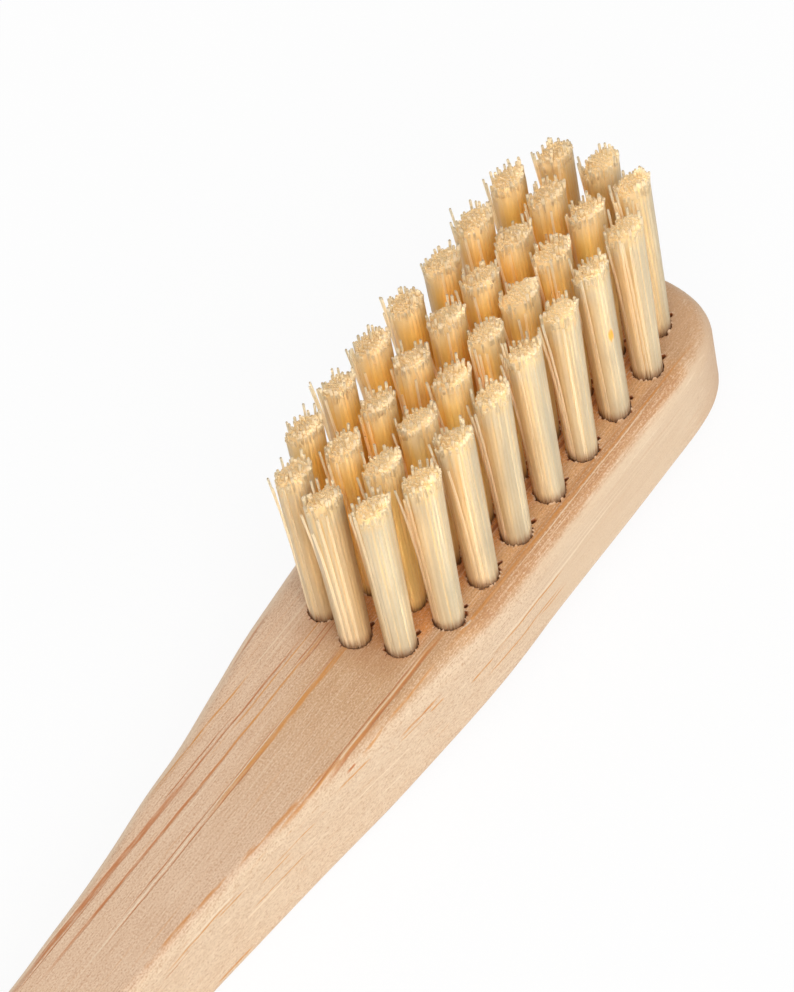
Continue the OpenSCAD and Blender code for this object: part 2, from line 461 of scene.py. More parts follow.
def strand_places(rng):
    """Where the filaments of a tuft stand in its hole: in close rings, then jostled."""
    places = []
    for ring in range(STRAND_RINGS):
        radius = TUFT_R * (1 - ring / (STRAND_RINGS - CORE_SHARE))
        count = max(1, round(2 * math.pi * radius / STRAND_PITCH))
        start = rng.uniform(0, 2 * math.pi)
        for i in range(count):
            angle = start + 2 * math.pi * (i + rng.gauss(0, JOSTLE_ROUND)) / count
            at = radius + rng.gauss(0, JOSTLE_OUT)
            places.append(Vector((math.cos(angle), math.sin(angle))) * at)
    return places


def rounded(at, top, radius):
    """The rings of a filament's rounded end."""
    rings = [(at, top - radius * drop, radius * width) for drop, width in TIP_ROUNDING]
    return rings + [(at, top, 0)]


class Tuft:
    """Gathers the mesh of one tuft, in millimetres from the middle of its hole."""

    def __init__(self, name):
        self.rng = rng = random.Random(name)
        self.middle = TUFT_MIDDLES[name]
        self.lean = Vector((rng.gauss(0, LEAN), rng.gauss(0, LEAN)))
        self.spread = rng.uniform(*TUFT_SPREAD)
        self.slope = Vector([rng.gauss(slope, SLOPE_STRAY) for slope in CUT_SLOPE])
        self.places = strand_places(rng)
        rim = [place for place in self.places if place.length > RIM_SHARE * TUFT_R]
        loose = [place for place in rim if place.dot(Vector(STRAY_SIDE)) > STRAY_ARC * TUFT_R]
        self.strays = rng.sample(loose, rng.randint(*STRAYS))
        self.places = [place for place in self.places if place not in self.strays]
        self.rim = [place for place in rim if place not in self.strays]
        self.rim_tones = [rng.random() for _ in self.rim]
        self.rim_caps = [self.cut(at) - FREE_END + rng.uniform(*FREE_END_STRAY) for at in self.rim]
        others = [middle - self.middle for middle in TUFT_MIDDLES.values()]
        self.neighbours = [away for away in others if 0 < away.length < NEIGHBOUR_REACH]
        self.verts, self.faces, self.flat = [], [], []
        self.tones, self.ends, self.gaps, self.crowds, self.clears = [], [], [], [], []

    def sway(self, place, rise):
        """Where a filament is at a share of its free length above the face.

        The tuft spreads along its anchor plate, and hardly at all across it.
        """
        at = Matrix.Rotation(-ANCHOR_ANGLE, 2) @ place
        along = at.x * (1 + self.spread * rise)
        across = at.y * (1 + (self.spread - FLATTENED) * rise)
        return Matrix.Rotation(ANCHOR_ANGLE, 2) @ Vector((along, across)) + self.lean * rise**2

    def cut(self, place):
        """How high the tuft is cut at a place. The cut slopes a little."""
        return CUT_TOP - CUT_DOME * (place.length / TUFT_R) ** 2 - self.slope.dot(place)

    def crowd(self, at):
        """How closed in by the tufts around it a place in the tuft is, from 0 to 1. The bristle finish
        paints shade by it.
        """
        facing = 0
        for away in self.neighbours:
            ahead = max(at.dot(away) / away.length / TUFT_R, 0)
            facing += ahead**2 * (ROW_PITCH / away.length) ** 2
        return min(facing, 1)

    def point(self, at, z, tone, end=0.0, gap=0.0, clear=0.0):
        self.verts.append((Vector((self.middle.x + at.x, self.middle.y + at.y, z)) * MM)[:])
        self.crowds.append(self.crowd(at))
        self.tones.append(tone)
        self.ends.append(end)
        self.gaps.append(gap)
        self.clears.append(clear)

    def tube(self, rings, sides, tone, gap=0.0, clear=0.0):
        """A round filament through rings of place, height and radius, with a point on its end."""
        start = len(self.verts)
        low, high = rings[0][1], rings[-1][1]
        for at, z, radius in rings[:-1]:
            end = 1 - radius / rings[0][2]
            crowded = gap * (high - z) / (high - low)
            stands_clear = clear * mix(CLEAR_AT_FOOT, 1, (z - low) / (high - low))
            for k in range(sides):
                angle = 2 * math.pi * k / sides
                out = Vector((math.cos(angle), math.sin(angle))) * radius
                self.point(at + out, z, tone, end, crowded, stands_clear)
        self.point(rings[-1][0], rings[-1][1], tone, 1.0, 0.0, clear)
        for k in range(len(rings) - 2):
            for i in range(sides):
                a, b = start + k * sides + i, start + k * sides + (i + 1) % sides
                self.faces.append((a, b, b + sides, a + sides))
        crown = start + (len(rings) - 2) * sides
        for i in range(sides):
            self.faces.append((crown + i, crown + (i + 1) % sides, len(self.verts) - 1))
        self.flat.append(len(self.faces))
        self.faces.append(tuple(start + i for i in reversed(range(sides))))

    def fluted_ring(self, rise):
        """The outline of the filaments at the rim, side by side."""
        places = [self.sway(place, rise) - self.lean * rise**2 for place in self.rim]
        ring = []
        for i in range(FLUTE_STEPS * len(self.rim)):
            angle = 2 * math.pi * i / FLUTE_STEPS / len(self.rim)
            out = Vector((math.cos(angle), math.sin(angle)))
            floor = TUFT_R * self.widening(out, rise) - FLUTE_DEPTH
            reach = floor
            for place in places:
                ahead = place.dot(out)
                aside = place.length_squared - ahead**2
                if ahead > 0 and aside < STRAND_R**2:
                    reach = max(reach, ahead + math.sqrt(STRAND_R**2 - aside))
            gap = 1 - min((reach - floor) / FLUTE_HEIGHT, 1)
            ring.append((out * reach + self.lean * rise**2, gap))
        return ring

    def widening(self, out, rise):
        """How much wider the outline of the tuft is in one direction than at its hole."""
        away = out.angle_signed(Vector((math.cos(ANCHOR_ANGLE), math.sin(ANCHOR_ANGLE))))
        long, short = 1 + self.spread * rise, 1 + (self.spread - FLATTENED) * rise
        return long * short / math.hypot(short * math.cos(away), long * math.sin(away))

    def nearest(self, at):
        """The filament at the rim that a point of the outline belongs to."""
        out = at.normalized()
        return max(range(len(self.rim)), key=lambda i: self.rim[i].normalized().dot(out))

    def body(self, cap):
        """The close-packed filaments, from the anchor plate to where their ends come free."""
        in_hole = (PLATE_TOP + FOLD_GAP, BLANK_T - MOUTH_DEPTH, BLANK_T)
        rings = [(z, self.fluted_ring(0)) for z in in_hole]
        for share in BODY_SHARES:
            z = mix(BLANK_T, cap - BRINK_LEAD, share)
            rings.append((z, self.fluted_ring((z - BLANK_T) / FREE_LEN)))
        count = len(rings[0][1])
        owners = [self.nearest(at) for at, _ in rings[0][1]]
        start = len(self.verts)
        for z, ring in rings:
            for owner, (at, gap) in zip(owners, ring):
                self.point(at, z, self.rim_tones[owner], 0.0, gap)
        brink = self.fluted_ring((cap - BLANK_T) / FREE_LEN)
        for owner, (at, _) in zip(owners, brink):
            self.point(at, self.rim_caps[owner], self.rim_tones[owner], 0.0, BRINK_GAP)
        for at, _ in brink:
            within = at * BRINK_SHARE
            self.point(within, self.cut(within) - MIDDLE_FREE_END, MIDDLE_TONE, 0.0, 1.0)
        for k in range(len(rings) + 1):
            for i in range(count):
                a, b = start + k * count + i, start + k * count + (i + 1) % count
                self.faces.append((a, b, b + count, a + count))
        self.flat += [len(self.faces), len(self.faces) + 1]
        self.faces.append(tuple(start + i for i in reversed(range(count))))
        self.faces.append(tuple(start + (len(rings) + 1) * count + i for i in range(count)))

    def end(self, place, cap, tone):
        """The free end of one filament, which stands on the close-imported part."""
        rng = self.rng
        share = place.length / TUFT_R
        top = self.cut(place) + rng.gauss(0, mix(*UNEVEN, share**3))
        if rng.random() < mix(*PROUD_ODDS, share**2):
            top += rng.uniform(*PROUD)
        elif share > SHORT_FROM and rng.random() < SHORT_ODDS:
            top -= rng.uniform(*SHORT)
        top = min(max(top, cap + LEAST_FREE_END), BRISTLE_TOP - TOP_GAP)
        radius = FREE_R * rng.uniform(*FREE_R_SHARES)
        foot = self.sway(place, (cap - BLANK_T) / FREE_LEN)
        tip = self.sway(place, (top - BLANK_T) / FREE_LEN)
        stir = mix(*STIR, share**3)
        stirred = Vector((rng.gauss(0, stir), rng.gauss(0, stir)))
        tip += stirred + place * rng.uniform(0, FLARE_OUT) * share**3
        gap = 1.0 if place.length < RIM_SHARE * TUFT_R else RIM_GAP
        rings = [(foot, cap - SUNK, radius)] + rounded(tip, top, radius)
        self.tube(rings, STRAND_SIDES, tone, gap)

    def stray(self, place):
        """A filament at the rim that stands clear of the others, and is often shorter."""
        rng = self.rng
        clear = place.normalized() * rng.uniform(*STRAY_CLEAR)
        clear += Vector((rng.gauss(0, STRAY_STIR), rng.gauss(0, STRAY_STIR)))
        tone = rng.random()
        least, most = STRAY_SHORT
        if rng.random() >= STRAY_SHORT_ODDS:
            most = STRAY_SHORTEST
        top = BRISTLE_TOP - rng.uniform(least, most)
        rings = [(place, PLATE_TOP + FOLD_GAP, STRAY_R)]
        for share in STRAY_SHARES:
            z = mix(BLANK_T, top, share)
            at = self.sway(place, (z - BLANK_T) / FREE_LEN) + clear * share**3
            rings.append((at, z, STRAY_R))
        tip = self.sway(place, (top - BLANK_T) / FREE_LEN) + clear
        rings += rounded(tip, top, STRAY_R)
        self.tube(rings, STRAND_SIDES, tone, 0.0, min(clear.length / WELL_CLEAR, 1))

    def root(self, side):
        """Half of the folded filaments in the hole, at one side of the anchor plate."""
        points = []
        for i in range(ROOT_STEPS + 1):
            angle = math.pi * i / ROOT_STEPS
            at = Vector((math.cos(angle), math.sin(angle))) * (HOLE_R - ROOT_GAP)
            at.y = max(at.y, ROOT_SPLIT)
            points.append(Matrix.Rotation(ANCHOR_ANGLE, 2) @ (at * side))
        start, count = len(self.verts), len(points)
        for z in (ROOT_END, PLATE_TOP):
            for at in points:
                self.point(at, z, MIDDLE_TONE)
        for i in range(count):
            a, b = start + i, start + (i + 1) % count
            self.flat.append(len(self.faces))
            self.faces.append((a, b, b + count, a + count))
        self.flat += [len(self.faces), len(self.faces) + 1]
        self.faces.append(tuple(start + i for i in reversed(range(count))))
        self.faces.append(tuple(start + count + i for i in range(count)))


def make_tuft(name):
    """One tuft of filaments, each with a rounded end."""
    tuft = Tuft(name)
    cap = CUT_TOP - FREE_END
    tuft.root(1)
    tuft.root(-1)
    tuft.body(cap)
    for place, place_cap, tone in zip(tuft.rim, tuft.rim_caps, tuft.rim_tones):
        tuft.end(place, place_cap, tone)
    for place in tuft.places:
        if place not in tuft.rim:
            tuft.end(place, tuft.cut(place) - MIDDLE_FREE_END, tuft.rng.random())
    for place in tuft.strays:
        tuft.stray(place)
    data = bpy.data.meshes.new(name.replace("tuft", "bristles"))
    data.from_pydata(tuft.verts, [], tuft.faces)
    data.shade_smooth()
    for i in tuft.flat:
        data.polygons[i].use_smooth = False
    for label, values in (
        ("strand_tone", tuft.tones),
        ("strand_end", tuft.ends),
        ("strand_gap", tuft.gaps),
        ("tuft_crowd", tuft.crowds),
        ("strand_clear", tuft.clears),
    ):
        data.attributes.new(label, "FLOAT", "POINT").data.foreach_set("value", values)
    made = bpy.data.objects.new(data.name, data)
    bpy.context.collection.objects.link(made)
    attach(made, "root")
    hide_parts(name)
    return made


def paint(red, green, blue):
    """A colour as it looks on a screen, each part from 0 to 255, in the shader's own values."""
    parts = []
    for part in (red, green, blue):
        share = part / 255
        parts.append(share / 12.92 if share <= 0.04045 else ((share + 0.055) / 1.055) ** 2.4)
    return (*parts, 1)


class Bench:
    """Places and wires the nodes of one material or node group."""

    def __init__(self, tree):
        self.tree = tree

    def node(self, kind, **settings):
        made = self.tree.nodes.new(kind)
        for name, value in settings.items():
            setattr(made, name, value)
        return made

    def put(self, socket, value):
        if isinstance(value, bpy.types.NodeSocket):
            self.tree.links.new(value, socket)
        else:
            socket.default_value = value

    def math(self, operation, a, b=0.0):
        made = self.node("ShaderNodeMath", operation=operation)
        self.put(made.inputs[0], a)
        self.put(made.inputs[1], b)
        return made.outputs[0]

    def plus(self, a, b):
        return self.math("ADD", a, b)

    def minus(self, a, b):
        return self.math("SUBTRACT", a, b)

    def size(self, a):
        """The size of a value, whatever its sign."""
        return self.math("ABSOLUTE", a)

    def times(self, *values):
        """The product of several values at each place."""
        product = values[0]
        for value in values[1:]:
            product = self.math("MULTIPLY", product, value)
        return product

    def most(self, masks):
        """The strongest of several masks at each place."""
        strongest = masks[0]
        for mask in masks[1:]:
            strongest = self.math("MAXIMUM", strongest, mask)
        return strongest

    def rise(self, value, low, high, bottom=0.0, top=1.0):
        """A smooth rise from bottom to top as the value goes from low to high."""
        made = self.node("ShaderNodeMapRange", interpolation_type="SMOOTHSTEP")
        for socket, given in zip(made.inputs, (value, low, high, bottom, top)):
            self.put(socket, given)
        return made.outputs[0]

    def blend(self, share, a, b):
        made = self.node("ShaderNodeMix", data_type="RGBA")
        self.put(made.inputs[0], share)
        self.put(made.inputs[6], a)
        self.put(made.inputs[7], b)
        return made.outputs[2]

    def stretched(self, place, scale):
        made = self.node("ShaderNodeVectorMath", operation="MULTIPLY")
        self.put(made.inputs[0], place)
        self.put(made.inputs[1], scale)
        return made.outputs[0]

    def cloud(self, place, scale, detail=2.0, rough=0.5):
        """Noise with one scale for each direction, in waves per millimetre."""
        made = self.node("ShaderNodeTexNoise")
        self.put(made.inputs["Vector"], self.stretched(place, scale))
        self.put(made.inputs["Scale"], 1.0)
        self.put(made.inputs["Detail"], detail)
        self.put(made.inputs["Roughness"], rough)
        return made.outputs["Fac"]

    def split(self, vector):
        made = self.node("ShaderNodeSeparateXYZ")
        self.put(made.inputs[0], vector)
        return made.outputs

    def attribute(self, name):
        return self.node("ShaderNodeAttribute", attribute_name=name).outputs["Fac"]

    def millimetres(self, middle=(0, 0, 0)):
        """Places on the brush in millimetres, counted from a middle."""
        coords = self.node("ShaderNodeTexCoord")
        made = self.node("ShaderNodeMapping")
        self.put(made.inputs["Vector"], coords.outputs["Object"])
        made.inputs["Scale"].default_value = (1 / MM,) * 3
        made.inputs["Location"].default_value = tuple(-c for c in middle)
        return made.outputs[0]

    def bump(self, height, depth):
        made = self.node("ShaderNodeBump")
        made.inputs["Strength"].default_value = 1.0
        made.inputs["Distance"].default_value = depth * MM
        self.put(made.inputs["Height"], height)
        return made.outputs[0]


def new_material(name):
    material = bpy.data.materials.new(name)
    material.use_nodes = True
    material.node_tree.nodes.clear()
    bench = Bench(material.node_tree)
    shader = bench.node("ShaderNodeBsdfPrincipled")
    output = bench.node("ShaderNodeOutputMaterial")
    bench.put(output.inputs["Surface"], shader.outputs[0])
    return material, bench, shader


def vein_group():
    """The node group of a dark or pale line that runs along the grain between two places."""
    tree = bpy.data.node_groups.new("grain_vein", "ShaderNodeTree")
    for label in ("Along", "Across", "From", "To", "At", "Slope", "Half Width"):
        tree.interface.new_socket(label, in_out="INPUT", socket_type="NodeSocketFloat")
    tree.interface.new_socket("Mask", in_out="OUTPUT", socket_type="NodeSocketFloat")
    bench = Bench(tree)
    given, out = bench.node("NodeGroupInput").outputs, bench.node("NodeGroupOutput").inputs
    middle = bench.times(bench.plus(given["From"], given["To"]), 0.5)
    reach = bench.times(bench.minus(given["To"], given["From"]), 0.5)
    ahead = bench.minus(given["Along"], middle)
    line = bench.plus(bench.times(ahead, given["Slope"]), given["At"])
    width = bench.math("DIVIDE", bench.minus(given["Across"], line), given["Half Width"])
    inside = bench.rise(bench.size(width), 0.55, 1.2, 1.0, 0.0)
    between = bench.rise(bench.size(bench.math("DIVIDE", ahead, reach)), 1.0, 0.5)
    bench.put(out["Mask"], bench.times(inside, between))
    return tree


VEIN = vein_group()

# Veins on the face: from and to along the brush and the place across, from the middle of the
# tufts, then the slope and the half width
FACE_BROWN = (
    (-38, -21, 2.31, -0.008, 0.15),
    (-37, -28, 2.12, 0, 0.03),
    (-27, -12, 2.24, -0.006, 0.05),
    (-25, -18, 2.47, -0.01, 0.03),
    (-36, -18, 1.47, -0.008, 0.08),
    (-15, -10.5, 1.56, 0, 0.035),
    (-15, -10.5, 1.30, 0, 0.035),
    (-33, -18, 0.0, -0.008, 0.035),
    (-33, -10, 0.27, -0.004, 0.035),
    (-23, -9, -3.38, -0.004, 0.04),
    (-20.5, -9, -3.68, 0.004, 0.07),
    (-27, -19, 3.62, 0.04, 0.06),
    (-21, -12, 4.2, 0.09, 0.07),
    (-14, -8.5, 4.88, 0.01, 0.05),
    (-9, 12, -2.28, 0, 0.1),
    (-8, 10, -1.2, 0, 0.06),
    (-6, 12, 0.3, 0, 0.08),
)
FACE_ORANGE = (
    (-27, -11, 1.43, -0.004, 0.06),
    (-24.5, -10, 0.05, 0, 0.15),
    (-26, -15, 3.24, -0.01, 0.05),
    (-20, -10, 2.0, 0, 0.04),
    (-23.5, -18, -3.42, -0.03, 0.1),
    (-20, -8.5, -3.6, 0, 0.16),
    (-15.5, -11, -4.25, -0.03, 0.06),
    (-11, 2, -4.42, -0.006, 0.1),
    (-3, 12, -4.50, 0, 0.05),
    (-9, 9, -4.2, 0, 0.03),
)
FACE_CREAM = (
    (-37, -30, 2.48, 0, 0.035),
    (-35, -23, 0.14, 0, 0.04),
    (-25, -13, 0.22, 0, 0.035),
    (-23, -9.5, -3.52, 0, 0.05),
    (-6, 9, -4.62, 0, 0.03),
)
# Scuffs across the grain: from and to across, the place along, the slope and the half width
FACE_SCUFF = (
    (-2.3, -0.4, -32.5, 0.5, 0.035),
    (-3.6, -1.2, -25.0, -0.35, 0.03),
)
# Veins on the near side: the place across is the height over the face
SIDE_ORANGE = (
    (-32, -26, -0.92, 0.02, 0.06),
    (-28, -25.7, -1.12, 0, 0.05),
    (-24, -20.7, -1.46, 0.01, 0.04),
    (-25, -22.6, -1.80, 0, 0.04),
    (-26, -21.5, -2.86, 0, 0.04),
    (-19.5, -16.8, -0.80, 0, 0.06),
    (-17.5, -13.2, -0.10, 0.16, 0.06),
    (-15.2, -12.0, -1.24, 0.06, 0.09),
    (-15.2, -13.2, -1.62, 0, 0.04),
    (-13.0, -11.8, -1.62, 0, 0.07),
    (-10.2, -8.2, -2.40, 0.04, 0.07),
    (-8.6, -1.8, -2.11, 0.01, 0.06),
    (-9.6, -2.2, -3.08, 0.02, 0.05),
    (-4.8, -2.2, -3.26, 0, 0.04),
    (-29, -26, -5.2, 0, 0.08),
)
SIDE_BROWN = (
    (-32, -29.6, -1.25, 0.03, 0.03),
    (-18.5, -17.7, -0.45, 0.05, 0.05),
    (-16.5, -15.7, -0.10, 0.05, 0.06),
    (-14.4, -12.6, -1.30, 0.06, 0.03),
)
SIDE_CREAM = (
    (-31, -26, -0.72, 0.01, 0.07),
    (-26.5, -23, -3.12, 0, 0.09),
    (-19, -14, -2.60, 0, 0.05),
    (-17, -15, -3.85, 0, 0.05),
    (-10, 4, -1.92, 0.01, 0.07),
    (-1, 9, -0.30, 0, 0.06),
)


def veins(bench, along, across, table):
    """All the veins of one tone on one side of the blank, as one mask."""
    strongest = None
    for measures in table:
        vein = bench.node("ShaderNodeGroup", node_tree=VEIN)
        for socket, value in zip(vein.inputs, (along, across, *measures)):
            bench.put(socket, value)
        mask = vein.outputs["Mask"]
        strongest = mask if strongest is None else bench.most([strongest, mask])
    return strongest


def bamboo_finish():
    """Sanded bamboo: a tan face with brown and orange veins, creamier at its sides, with light painted
    in among the tufts and on the sides and a painted shadow before the tufts.
    """
    material, bench, shader = new_material("sanded_bamboo")
    place = bench.millimetres(FACE_MIDDLE)
    along, across, height = bench.split(place)
    normal = bench.node("ShaderNodeNewGeometry").outputs["Normal"]
    up = bench.size(bench.split(normal)[2])

    waver = bench.cloud(place, (0.35, 0.2, 0.2), 2.0)
    shifted = bench.plus(across, bench.times(bench.minus(waver, 0.5), 0.16))
    shifted_height = bench.plus(height, bench.times(bench.minus(waver, 0.5), 0.3))
    blotch = bench.rise(bench.cloud(place, (0.9, 9, 9), 3.0), 0.32, 0.58, 0.5, 1.0)
    fibres = bench.cloud(place, (0.45, 16, 16), 3.0, 0.6)
    grain = bench.cloud(place, (8, 13, 13), 2.5, 0.65)
    broad = bench.cloud(place, (0.25, 0.8, 0.8), 3.0, 0.6)
    long_fibres = bench.cloud(place, (0.06, 6, 6), 3.0, 0.6)
    lines = bench.rise(long_fibres, 0.58, 0.72, 0.0, 0.4)
    ragged_arris = bench.times(bench.minus(bench.cloud(place, (1.5, 4, 4), 3.0), 0.5), 0.2)
    among_tufts = bench.times(bench.rise(along, -10.5, -7.5), bench.rise(along, 10.2, 8.4))
    turned = bench.plus(bench.plus(up, ragged_arris), bench.times(among_tufts, 0.1))
    face = bench.rise(turned, 0.6, 0.985)

    # The ground tone of the neck and the head, then painted light among the tufts, lighter and warmer
    # between them and orange deeper among them, a darker band beside them, then the sides, paler partly
    # as their own tone and partly as painted light
    neck_tone = bench.blend(broad, paint(219, 182, 149), paint(232, 199, 168))
    head_tone = bench.blend(broad, paint(202, 157, 112), paint(216, 175, 134))
    slanting = bench.minus(along, bench.times(bench.math("MAXIMUM", across, 0.0), 4.5))
    face_tone = bench.blend(bench.rise(slanting, -27, -11), neck_tone, head_tone)
    # painted light: the face between the tufts is painted lighter and warmer, standing in for light
    # through the bristles and lifting their shade
    face_tone = bench.blend(among_tufts, face_tone, paint(230, 175, 116))
    # painted light: an orange glow on the face deep among the tufts, where light through the bristles
    # falls
    painted_glow_among_tufts = bench.times(bench.rise(bench.size(across), 3.4, 2.6), bench.rise(along, -12.4, -10.6))
    painted_glow_among_tufts = bench.times(painted_glow_among_tufts, bench.rise(along, 11.0, 10.0))
    face_tone = bench.blend(painted_glow_among_tufts, face_tone, paint(238, 158, 82))
    near_rim = bench.times(among_tufts, bench.rise(across, -3.8, -4.3))
    face_tone = bench.blend(near_rim, face_tone, paint(202, 150, 102))
    # partly painted light: the sides are painted paler than the face, partly as their own tone and
    # partly for the extra light the near side gets
    side_tone = bench.blend(broad, paint(222, 191, 157), paint(232, 208, 177))
    tone = bench.blend(face, side_tone, face_tone)
    rough_end = bench.rise(along, -2, -6, 0.3, 1.0)
    busy = bench.rise(face, 0.0, 0.6, bench.times(rough_end, 0.9), 1.0)
    for cloud, dark, pale in ((fibres, 0.35, 0.4), (grain, 0.55, 0.6)):
        low = bench.times(bench.rise(cloud, 0.5, 0.68, 0.0, dark), busy)
        high = bench.times(bench.rise(cloud, 0.5, 0.32, 0.0, pale), busy)
        tone = bench.blend(low, tone, paint(184, 134, 100))
        tone = bench.blend(high, tone, paint(243, 214, 184))

    # The veins of the face and of the near side
    grip = bench.rise(along, -44, -37, 1.0, 0.0)
    long_veins = bench.rise(bench.cloud(place, (0.035, 1.5, 1.5), 2.0, 0.6), 0.6, 0.72)
    brown = bench.times(veins(bench, along, shifted, FACE_BROWN), face)
    orange = bench.times(veins(bench, along, shifted, FACE_ORANGE), face)
    grip_veins = bench.times(long_veins, grip)
    orange = bench.most([orange, grip_veins, bench.times(lines, bench.rise(face, 0.0, 1.0, 0.7, 1.0))])
    cream = bench.times(veins(bench, along, shifted, FACE_CREAM), face)
    scuff = bench.times(veins(bench, across, along, FACE_SCUFF), face)
    pale_fibres = bench.rise(long_fibres, 0.42, 0.3, 0.0, 0.7)
    near_side = bench.rise(across, -1.5, -2.0)
    side = bench.times(bench.minus(1.0, face), near_side)
    side_orange = bench.times(veins(bench, along, shifted_height, SIDE_ORANGE), side)
    side_brown = bench.times(veins(bench, along, shifted_height, SIDE_BROWN), side)
    side_cream = bench.times(veins(bench, along, shifted_height, SIDE_CREAM), side)
    orange_vein = bench.times(bench.most([orange, side_orange]), blotch)
    tone = bench.blend(orange_vein, tone, paint(212, 148, 84))
    brown_vein = bench.times(bench.most([brown, side_brown]), blotch)
    tone = bench.blend(brown_vein, tone, paint(194, 127, 82))
    pale = bench.most([cream, side_cream, pale_fibres, bench.times(scuff, 0.35)])
    tone = bench.blend(bench.times(pale, 0.6), tone, paint(248, 226, 196))

    # The edges of the face, with the far one painted paler to lift its shade, the tip, a painted shadow
    # of the first tufts on the face before them, and the drilled rims
    arris = bench.times(bench.rise(up, 0.9, 0.98), bench.rise(up, 0.9999, 0.99))
    arris_run = bench.times(bench.rise(along, -34, -31), bench.rise(along, -12, -20))
    stain = bench.times(arris, arris_run, near_side)
    stain = bench.times(stain, bench.rise(bench.cloud(place, (0.6, 5, 5), 3.0), 0.42, 0.6))
    tone = bench.blend(bench.times(stain, 0.9), tone, paint(206, 142, 84))
    # painted light: the far edge and far side are painted paler to lift the shade they fall into as
    # they turn away from the lamps
    far_edge_painted_lift = bench.times(bench.rise(up, 0.995, 0.8), bench.rise(across, 1.5, 2.0))
    tone = bench.blend(bench.times(far_edge_painted_lift, 0.85), tone, paint(252, 222, 190))
    tip = bench.rise(along, 8.5, 12.5)
    tone = bench.blend(bench.times(tip, 0.45), tone, paint(206, 162, 122))
    # painted shadow: a soft darker patch on the face just before the first tufts, where their shadow
    # falls
    painted_tuft_shadow = bench.times(bench.rise(along, -13.9, -12.6), bench.rise(along, -10.4, -12.0))
    painted_tuft_shadow = bench.times(painted_tuft_shadow, bench.rise(bench.size(across), 3.6, 2.4))
    tone = bench.blend(bench.times(painted_tuft_shadow, 0.3), tone, paint(184, 128, 82))
    drilled = bench.attribute("drilled")
    tone = bench.blend(bench.rise(drilled, 0.0, 0.9, 0.0, 0.95), tone, paint(178, 98, 44))
    tone = bench.blend(bench.rise(drilled, 0.0, -0.4, 0.0, 0.7), tone, paint(238, 204, 168))
    bench.put(shader.inputs["Base Color"], tone)
    bench.put(shader.inputs["Roughness"], bench.rise(fibres, 0.2, 0.8, 0.5, 0.66))
    shader.inputs["Specular IOR Level"].default_value = 0.35
    relief = bench.plus(bench.times(fibres, 0.5), grain)
    relief = bench.minus(relief, bench.times(brown, 0.4))
    bench.put(shader.inputs["Normal"], bench.bump(relief, 0.035))
    return material


